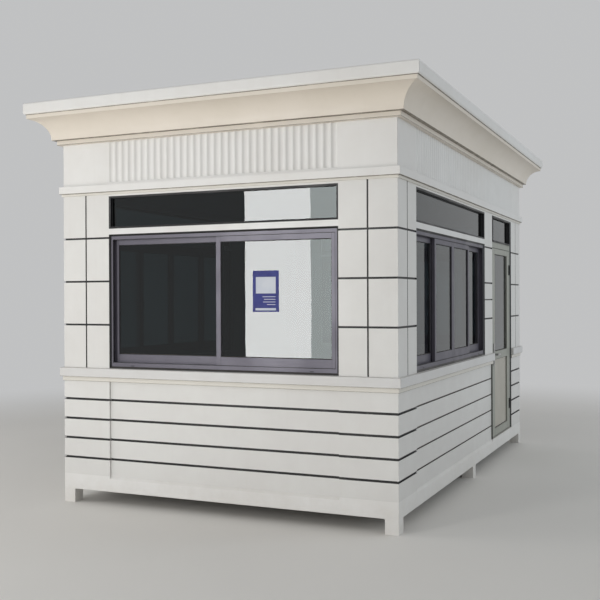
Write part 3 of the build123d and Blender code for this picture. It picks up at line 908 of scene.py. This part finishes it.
def add_corner_joints(shape, box, opening):
    """The four butt joints of a sash or leaf, where its rails meet its stiles, on both faces."""
    low, high = box
    axis = thin_axis(low, high)
    across = 1 - axis
    for level, out in ((high[axis], 1), (low[axis], -1)):
        for edge in (opening[0][across], opening[1][across]):
            add_hairline(shape, axis, level, out, edge, low.z, opening[0].z)
            add_hairline(shape, axis, level, out, edge, opening[1].z, high.z)


def make_sash_joints():
    """Where the rails of each sash meet its stiles; its pane gives the opening."""
    shape = bmesh.new()
    panes = solids_of("window_panes")
    for box in solids_of("window_sashes"):
        middle = (box[0] + box[1]) / 2
        pane = min(panes, key=lambda other: ((other[0] + other[1]) / 2 - middle).length)
        add_corner_joints(shape, box, pane)
    keep("sash_corner_joints", shape, "seal_rubber", "booth")


def make_leaf_joints():
    """Where the rails of the door leaf meet its stiles."""
    shape = bmesh.new()
    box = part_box("door_leaf")
    light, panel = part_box("door_glass"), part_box("door_panel")
    add_corner_joints(shape, box, (panel[0], light[1]))
    for level, out in ((box[1].x, 1), (box[0].x, -1)):
        for edge in (light[0].y, light[1].y):
            add_hairline(shape, 0, level, out, edge, panel[1].z, light[0].z)
    keep("leaf_corner_joints", shape, "seal_rubber", "door")


# Sashes at least this far apart in depth, and lapping this much, meet at a latch
TRACK_STEP = 0.01
MEETING_WIDTH = 0.02

LATCH_HEIGHT = 0.066
LATCH_WIDTH = 0.018
LATCH_PLATE = 0.005
LATCH_EASE = 0.0015
LATCH_SCREW_STEP = 0.026
ARM_WIDTH = 0.010
ARM_DEPTHS = (0.011, 0.016)
ARM_LEVELS = (-0.050, 0.006)


def add_latch(shape, axis, outward, inside, middle, height):
    """A plate with a turning boss, an arm and two screws."""
    def at(depth, aside, up):
        return spot_at(axis, inside - outward * depth, middle + aside, height + up)
    rise = -outward * LATCH_PLATE
    add_plate(shape, axis, inside, rise, middle, height, LATCH_WIDTH, LATCH_HEIGHT, LATCH_EASE)
    add_disc(shape, at(LATCH_PLATE, 0, 0), axis, -outward, *BOSS)
    foot = at(ARM_DEPTHS[0], -ARM_WIDTH / 2, ARM_LEVELS[0])
    add_block(shape, foot, at(ARM_DEPTHS[1], ARM_WIDTH / 2, ARM_LEVELS[1]), LATCH_EASE)
    for step in (-LATCH_SCREW_STEP, LATCH_SCREW_STEP):
        add_screw(shape, at(LATCH_PLATE, 0, step), axis, -outward, *LATCH_SCREW)


def make_sash_latches():
    """A crescent latch on the room side of each meeting stile."""
    shape = bmesh.new()
    sashes = [(low, high, thin_axis(low, high)) for low, high in solids_of("window_sashes")]
    for low, high, axis in sashes:
        across = 1 - axis
        outward, _ = outer_face(low, high, axis)
        inside = low[axis] if outward > 0 else high[axis]
        for other_low, other_high, other_axis in sashes:
            same_wall = other_axis == axis and outward * (other_low + other_high)[axis] > 0
            if not same_wall or outward * (other_low - low)[axis] < TRACK_STEP:
                continue
            start = max(low[across], other_low[across])
            end = min(high[across], other_high[across])
            if end - start > MEETING_WIDTH:
                add_latch(shape, axis, outward, inside, (start + end) / 2, (low.z + high.z) / 2)
    keep("sash_latches", shape, "latch_enamel", "booth")


WEEP_WIDTH = 0.030
WEEP_HEIGHT = 0.006
WEEP_LEVEL = 0.022
WEEP_INSET = 0.21
WEEP_RISE = 0.002


def make_weep_covers():
    """Small hoods over the drain slots of each window frame: two, or three from 2 m of width."""
    shape = bmesh.new()
    for low, high in solids_of("window_frames"):
        axis = thin_axis(low, high)
        start, end = low[1 - axis], high[1 - axis]
        outward, level = outer_face(low, high, axis)
        rise, z = outward * WEEP_RISE, low.z + WEEP_LEVEL
        count = 2 if end - start < 2 else 3
        for middle in spread(start + WEEP_INSET, end - WEEP_INSET, count):
            add_plate(shape, axis, level, rise, middle, z, WEEP_WIDTH, WEEP_HEIGHT, ease=0.0008)
    keep("weep_covers", shape, "trim_coat", "booth")


make_sash_joints()
make_leaf_joints()
make_sash_latches()
make_weep_covers()


# Ironmongery of the door

HINGE_WING = 0.003
HINGE_SCREW_INSET = 0.012
HINGE_SCREW_STEP = 0.036


def make_hinge_screws():
    """Three screws in each wing of both hinges."""
    for name, node_name, body in (
        ("hinge_screws_frame", "hinge_plates", "booth"),
        ("hinge_screws_leaf", "hinge_leaves", "door"),
    ):
        shape = bmesh.new()
        for low, high in solids_of(node_name):
            wing = high.y - HINGE_SCREW_INSET if body == "booth" else low.y + HINGE_SCREW_INSET
            middle = (low.z + high.z) / 2
            for step in (-HINGE_SCREW_STEP, 0.0, HINGE_SCREW_STEP):
                spot = Vector((low.x + HINGE_WING, wing, middle + step))
                add_screw(shape, spot, 0, 1, *HINGE_SCREW)
        keep(name, shape, "zinc_screw", body)


HANDLE_PLATE = 0.008
HANDLE_HALF_PLATE = 0.021
HANDLE_SCREW_STEP = 0.096
LOCK_DROP = 0.070
LOCK_FOOT_DROP = 0.014
LOCK_FOOT_SIZE = (0.010, 0.020)
KEYHOLE_SIZE = (0.0016, 0.009)
KEYHOLE_RISE = 0.0002


def make_handle_details():
    """Collars, a lock cylinder with its keyhole, and screws on both plates of the handle."""
    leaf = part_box("door_leaf")
    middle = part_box("door_handle")[0].y + HANDLE_HALF_PLATE
    lock = HANDLE_LEVEL - LOCK_DROP
    metal = bmesh.new()
    dark = bmesh.new()
    for out, face in ((1, leaf[1].x + HANDLE_PLATE), (-1, leaf[0].x - HANDLE_PLATE)):
        def at(z):
            return Vector((face, middle, z))
        add_disc(metal, at(HANDLE_LEVEL), 0, out, *COLLAR)
        for step in (-HANDLE_SCREW_STEP, HANDLE_SCREW_STEP):
            add_screw(metal, at(HANDLE_LEVEL + step), 0, out, *HANDLE_SCREW)
        add_disc(metal, at(lock), 0, out, *LOCK)
        foot = lock - LOCK_FOOT_DROP
        add_plate(metal, 0, face, out * LOCK_RISE, middle, foot, *LOCK_FOOT_SIZE, ease=0.0008)
        key = face + out * LOCK_RISE
        add_plate(dark, 0, key, out * KEYHOLE_RISE, middle, lock, *KEYHOLE_SIZE)
    keep("handle_details", metal, "satin_steel", "door")
    keep("keyholes", dark, "seal_rubber", "door")


THRESHOLD_RIBS = 4
RIB_WIDTH = 0.004
RIB_INSET = 0.004
RIB_RISE = 0.0008
TREAD_SCREW_INSET = 0.06


def make_threshold_ribs():
    """Grip ribs and screws on the threshold."""
    low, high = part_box("door_threshold")
    shape = bmesh.new()
    pitch = (high.x - low.x) / (THRESHOLD_RIBS + 1)
    for i in range(THRESHOLD_RIBS):
        x = low.x + (i + 1) * pitch
        corner = Vector((x - RIB_WIDTH / 2, low.y + RIB_INSET, high.z))
        far = Vector((x + RIB_WIDTH / 2, high.y - RIB_INSET, high.z + RIB_RISE))
        add_block(shape, corner, far, ease=0.0003)
    for y in spread(low.y + TREAD_SCREW_INSET, high.y - TREAD_SCREW_INSET, 3):
        add_screw(shape, Vector((low.x + 2.5 * pitch, y, high.z)), 2, 1, *THRESHOLD_SCREW)
    keep("threshold_ribs", shape, "scuffed_alloy", "booth")


make_hinge_screws()
make_handle_details()
make_threshold_ribs()


# Roof, feet and room trims

PARAPET_INSET = 0.05
FLASHING_FOOT = 0.055
FLASHING_RISE = 0.075
FLASHING_HEM = 0.005
FLASHING_SHEET = 0.0012
WELD_SIZE = 0.005


def make_roof_flashing():
    """A folded sheet round the roof: its foot lies on the ribs and its leg against the parapet."""
    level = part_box("roof_deck")[1].z + FLASHING_SHEET
    x = HALF_WIDTH - PARAPET_INSET - FLASHING_SHEET
    y = HALF_DEPTH - PARAPET_INSET - FLASHING_SHEET
    shape = bmesh.new()
    corners = ((-x, -y, level), (x, -y, level), (x, y, level), (-x, y, level))
    _, inner = add_ring(shape, corners, FLASHING_FOOT)
    outer = [edge for edge in shape.edges if edge.is_boundary and edge not in inner]
    for edges, lift in ((outer, FLASHING_RISE), (inner, FLASHING_HEM)):
        for vertex in bmesh.ops.extrude_edge_only(shape, edges=edges)["geom"]:
            if isinstance(vertex, bmesh.types.BMVert):
                vertex.co.z += lift
    bmesh.ops.recalc_face_normals(shape, faces=shape.faces)
    shape.normal_update()
    bmesh.ops.solidify(shape, geom=shape.faces[:], thickness=FLASHING_SHEET)
    keep("roof_flashing", shape, "flashing_zinc", "booth")


def make_roof_screws():
    """Six-sided screws with washers along the top of every rib of the roof sheet."""
    shape = bmesh.new()
    deck = bmesh.new()
    deck.from_mesh(nodes["roof_deck"].data)
    top = max(vertex.co.z for vertex in deck.verts)
    ribs = sorted({round(v.co.y, 3) for v in deck.verts if v.co.z > top - 0.001})
    deck.free()
    reach = HALF_WIDTH - 2 * PARAPET_INSET - FLASHING_FOOT
    for left, right in zip(ribs[::2], ribs[1::2]):
        for x in spread(-reach, reach, ROOF_SCREW_ROWS):
            spot = Vector((x, (left + right) / 2, top))
            add_disc(shape, spot, 2, 1, *WASHER)
            spot.z += WASHER_RISE
            add_disc(shape, spot, 2, 1, *ROOF_SCREW)
    keep("roof_screws", shape, "zinc_screw", "booth")


def make_foot_welds():
    """Weld beads round the top of each foot, under the base frame."""
    shape = bmesh.new()
    for low, high in solids_of("feet"):
        grown = Vector((WELD_SIZE, WELD_SIZE, 0))
        within = Vector((HALF_WIDTH, HALF_DEPTH, high.z))
        ring_low = Vector([max(a - g, -w) for a, g, w in zip(low, grown, within)])
        ring_high = Vector([min(a + g, w) for a, g, w in zip(high, grown, within)])
        for axis, sign in ((0, 1), (0, -1), (1, 1), (1, -1)):
            face = high[axis] if sign > 0 else low[axis]
            edge = ring_high[axis] if sign > 0 else ring_low[axis]
            if abs(edge - face) < 0.001:
                continue
            corner, far = ring_low.copy(), ring_high.copy()
            corner[axis], far[axis] = face, edge
            corner.z, far.z = RAIL_BOTTOM - WELD_SIZE, RAIL_BOTTOM
            add_block(shape, corner, far, ease=0.0018)
    keep("foot_welds", shape, "base_paint", "booth")


SKIRTING_HEIGHT = 0.06
SKIRTING_DEPTH = 0.008
CEILING_TRIM = 0.028


def make_skirting():
    """White skirting along the walls of the room, left open at the door."""
    x, y = ROOM_HALF.x, ROOM_HALF.y
    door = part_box("door_jambs")
    top = FLOOR_LEVEL + SKIRTING_HEIGHT
    runs = (
        ((-x, -y), (x, -y + SKIRTING_DEPTH)),
        ((-x, y - SKIRTING_DEPTH), (x, y)),
        ((-x, -y), (-x + SKIRTING_DEPTH, y)),
        ((x - SKIRTING_DEPTH, -y), (x, door[0].y)),
        ((x - SKIRTING_DEPTH, door[1].y), (x, y)),
    )
    shape = bmesh.new()
    for start, end in runs:
        add_block(shape, Vector((*start, FLOOR_LEVEL)), Vector((*end, top)), ease=0.002)
    keep("skirting", shape, "trim_white", "booth")


def make_ceiling_trim():
    """A plain cove where the ceiling meets the walls."""
    shape = bmesh.new()
    low = Vector((-ROOM_HALF.x, -ROOM_HALF.y, CEILING_LEVEL))
    high = Vector((ROOM_HALF.x, ROOM_HALF.y, CEILING_LEVEL))
    rim(shape, low, high, 2, CEILING_LEVEL, -1, CEILING_TRIM, CEILING_TRIM, lean=0.75)
    keep("ceiling_trim", shape, "trim_white", "booth")


make_roof_flashing()
make_roof_screws()
make_foot_welds()
make_skirting()
make_ceiling_trim()


def make_notice():
    """A printed sheet stuck to the right front pane, curling a little at its foot."""
    panes = solids_of("window_panes")
    panes = [box for box in panes if box[1].y < FRONT_PANES and box[1].z < TOP_LIGHT]
    pane = max(panes, key=lambda box: box[0].x)
    shape = bmesh.new()
    bmesh.ops.create_grid(shape, x_segments=10, y_segments=14, size=0.5)
    for vertex in shape.verts:
        across, up = vertex.co.x, vertex.co.y
        curl = NOTICE_CURL * max(0.0, -up - CURL_START) ** 2 * (0.4 + abs(across))
        vertex.co = Vector((
            NOTICE_CENTRE_X + across * NOTICE_WIDTH,
            pane[0].y - NOTICE_GAP - curl,
            NOTICE_CENTRE_Z + up * NOTICE_HEIGHT,
        ))
    shape.normal_update()
    bmesh.ops.solidify(shape, geom=shape.faces[:], thickness=NOTICE_SHEET)
    keep("notice_sheet", shape, "notice_print", "booth")


make_notice()


# Floor, light and camera

BACKDROP = (0.53, 0.535, 0.54, 1.0)
SOFT_LIGHT = (0.96, 0.98, 1.0, 1.0)
FLOOR_HALF = 90.0

# How far from the booth the floor begins and ends to pass into the backdrop
FLOOR_FADE = (4.5, 9.5)

# Each soft box: its place, what it points at, its width and height, its power and its colour
SOFT_BOXES = {
    "key_box": ((-3.2, -10.0, 2.1), (-0.2, -2.0, 1.6), (1.1, 3.4), 166.0, (1.0, 0.99, 0.975)),
    "edge_box": ((-2.43, -10.29, 2.1), (0.57, -2.29, 1.6), (0.55, 3.4), 36.0, (0.94, 1.0, 0.98)),
    "left_box": ((-7.5, -4.8, 2.8), (0.0, -1.5, 1.6), (3.5, 3.5), 131.0, (1.0, 0.99, 0.97)),
    "ground_box": ((-0.8, -5.4, 0.02), (-0.8, -5.4, 3.0), (5.0, 2.6), 35.0, (1.0, 0.95, 0.87)),
    "side_box": ((10.0, 3.0, 3.5), (1.4, 0.0, 1.4), (4.0, 3.0), 166.0, (0.81, 0.92, 1.0)),
}


def seen_ray(tree):
    """Rays that come from the eye, from a reflection or through glass."""
    path = place(tree, "LightPath")
    seen = maths(tree, "MAXIMUM", path["Is Camera Ray"], path["Is Glossy Ray"])
    return maths(tree, "MAXIMUM", seen, path["Is Transmission Ray"])


def make_floor():
    """A pale floor that passes into the backdrop far from the booth."""
    tree, shader = new_material("studio_floor")
    tone = ramp(tree, noise(tree, 0.35, 3.0), 0.3, 0.7)
    tint = mixed(tree, tone, srgb(229, 226, 221), srgb(226, 223, 218))
    feed(tree, shader, {"Base Color": tint, "Roughness": 0.85})
    away = place(tree, "VectorMath", {0: on_object(tree)}, operation="LENGTH")["Value"]
    far = product(tree, ramp(tree, away, *FLOOR_FADE), seen_ray(tree))
    glow = place(tree, "Emission", {"Color": BACKDROP, "Strength": 1.0})[0]
    mix = place(tree, "MixShader", {0: far, 1: shader.outputs[0], 2: glow})[0]
    leave = next(node for node in tree.nodes if node.type == "OUTPUT_MATERIAL")
    tree.links.new(mix, leave.inputs["Surface"])
    shape = bmesh.new()
    bmesh.ops.create_grid(shape, x_segments=1, y_segments=1, size=FLOOR_HALF)
    floor = add_mesh("studio_floor", shape, "studio_floor")


def make_world():
    """An even pale room: light grey to the eye and in reflections, soft as a light."""
    world = bpy.data.worlds.new("studio_room")
    bpy.context.scene.world = world
    world.use_nodes = True
    tree = world.node_tree
    tree.nodes.clear()
    soft = place(tree, "Background", {"Color": SOFT_LIGHT, "Strength": 0.47})[0]
    pale = place(tree, "Background", {"Color": BACKDROP, "Strength": 1.0})[0]
    mix = place(tree, "MixShader", {0: seen_ray(tree), 1: soft, 2: pale})[0]
    leave = tree.nodes.new("ShaderNodeOutputWorld")
    tree.links.new(mix, leave.inputs["Surface"])


def add_soft_box(name, spot, target, size, power, colour):
    data = bpy.data.lights.new(name, "AREA")
    data.shape = "RECTANGLE"
    data.size, data.size_y = size
    data.energy = power
    data.color = colour
    lamp = add_object(name, data)
    lamp.location = spot
    lamp.rotation_euler = (Vector(target) - Vector(spot)).to_track_quat("-Z", "Y").to_euler()
    lamp.visible_camera = False


def make_camera():
    data = bpy.data.cameras.new("camera")
    data.lens = 55.0
    data.sensor_width = 36.0
    data.clip_end = 400.0
    camera = add_object("camera", data)
    camera.location = (3.312, -8.184, 1.622)
    camera.rotation_euler = (math.radians(90 - 0.127), math.radians(0.233), math.radians(23.884))
    bpy.context.scene.camera = camera


make_floor()
make_world()
for name, values in SOFT_BOXES.items():
    add_soft_box(name, *values)
make_camera()

scene = bpy.context.scene
scene.view_settings.view_transform = "Standard"
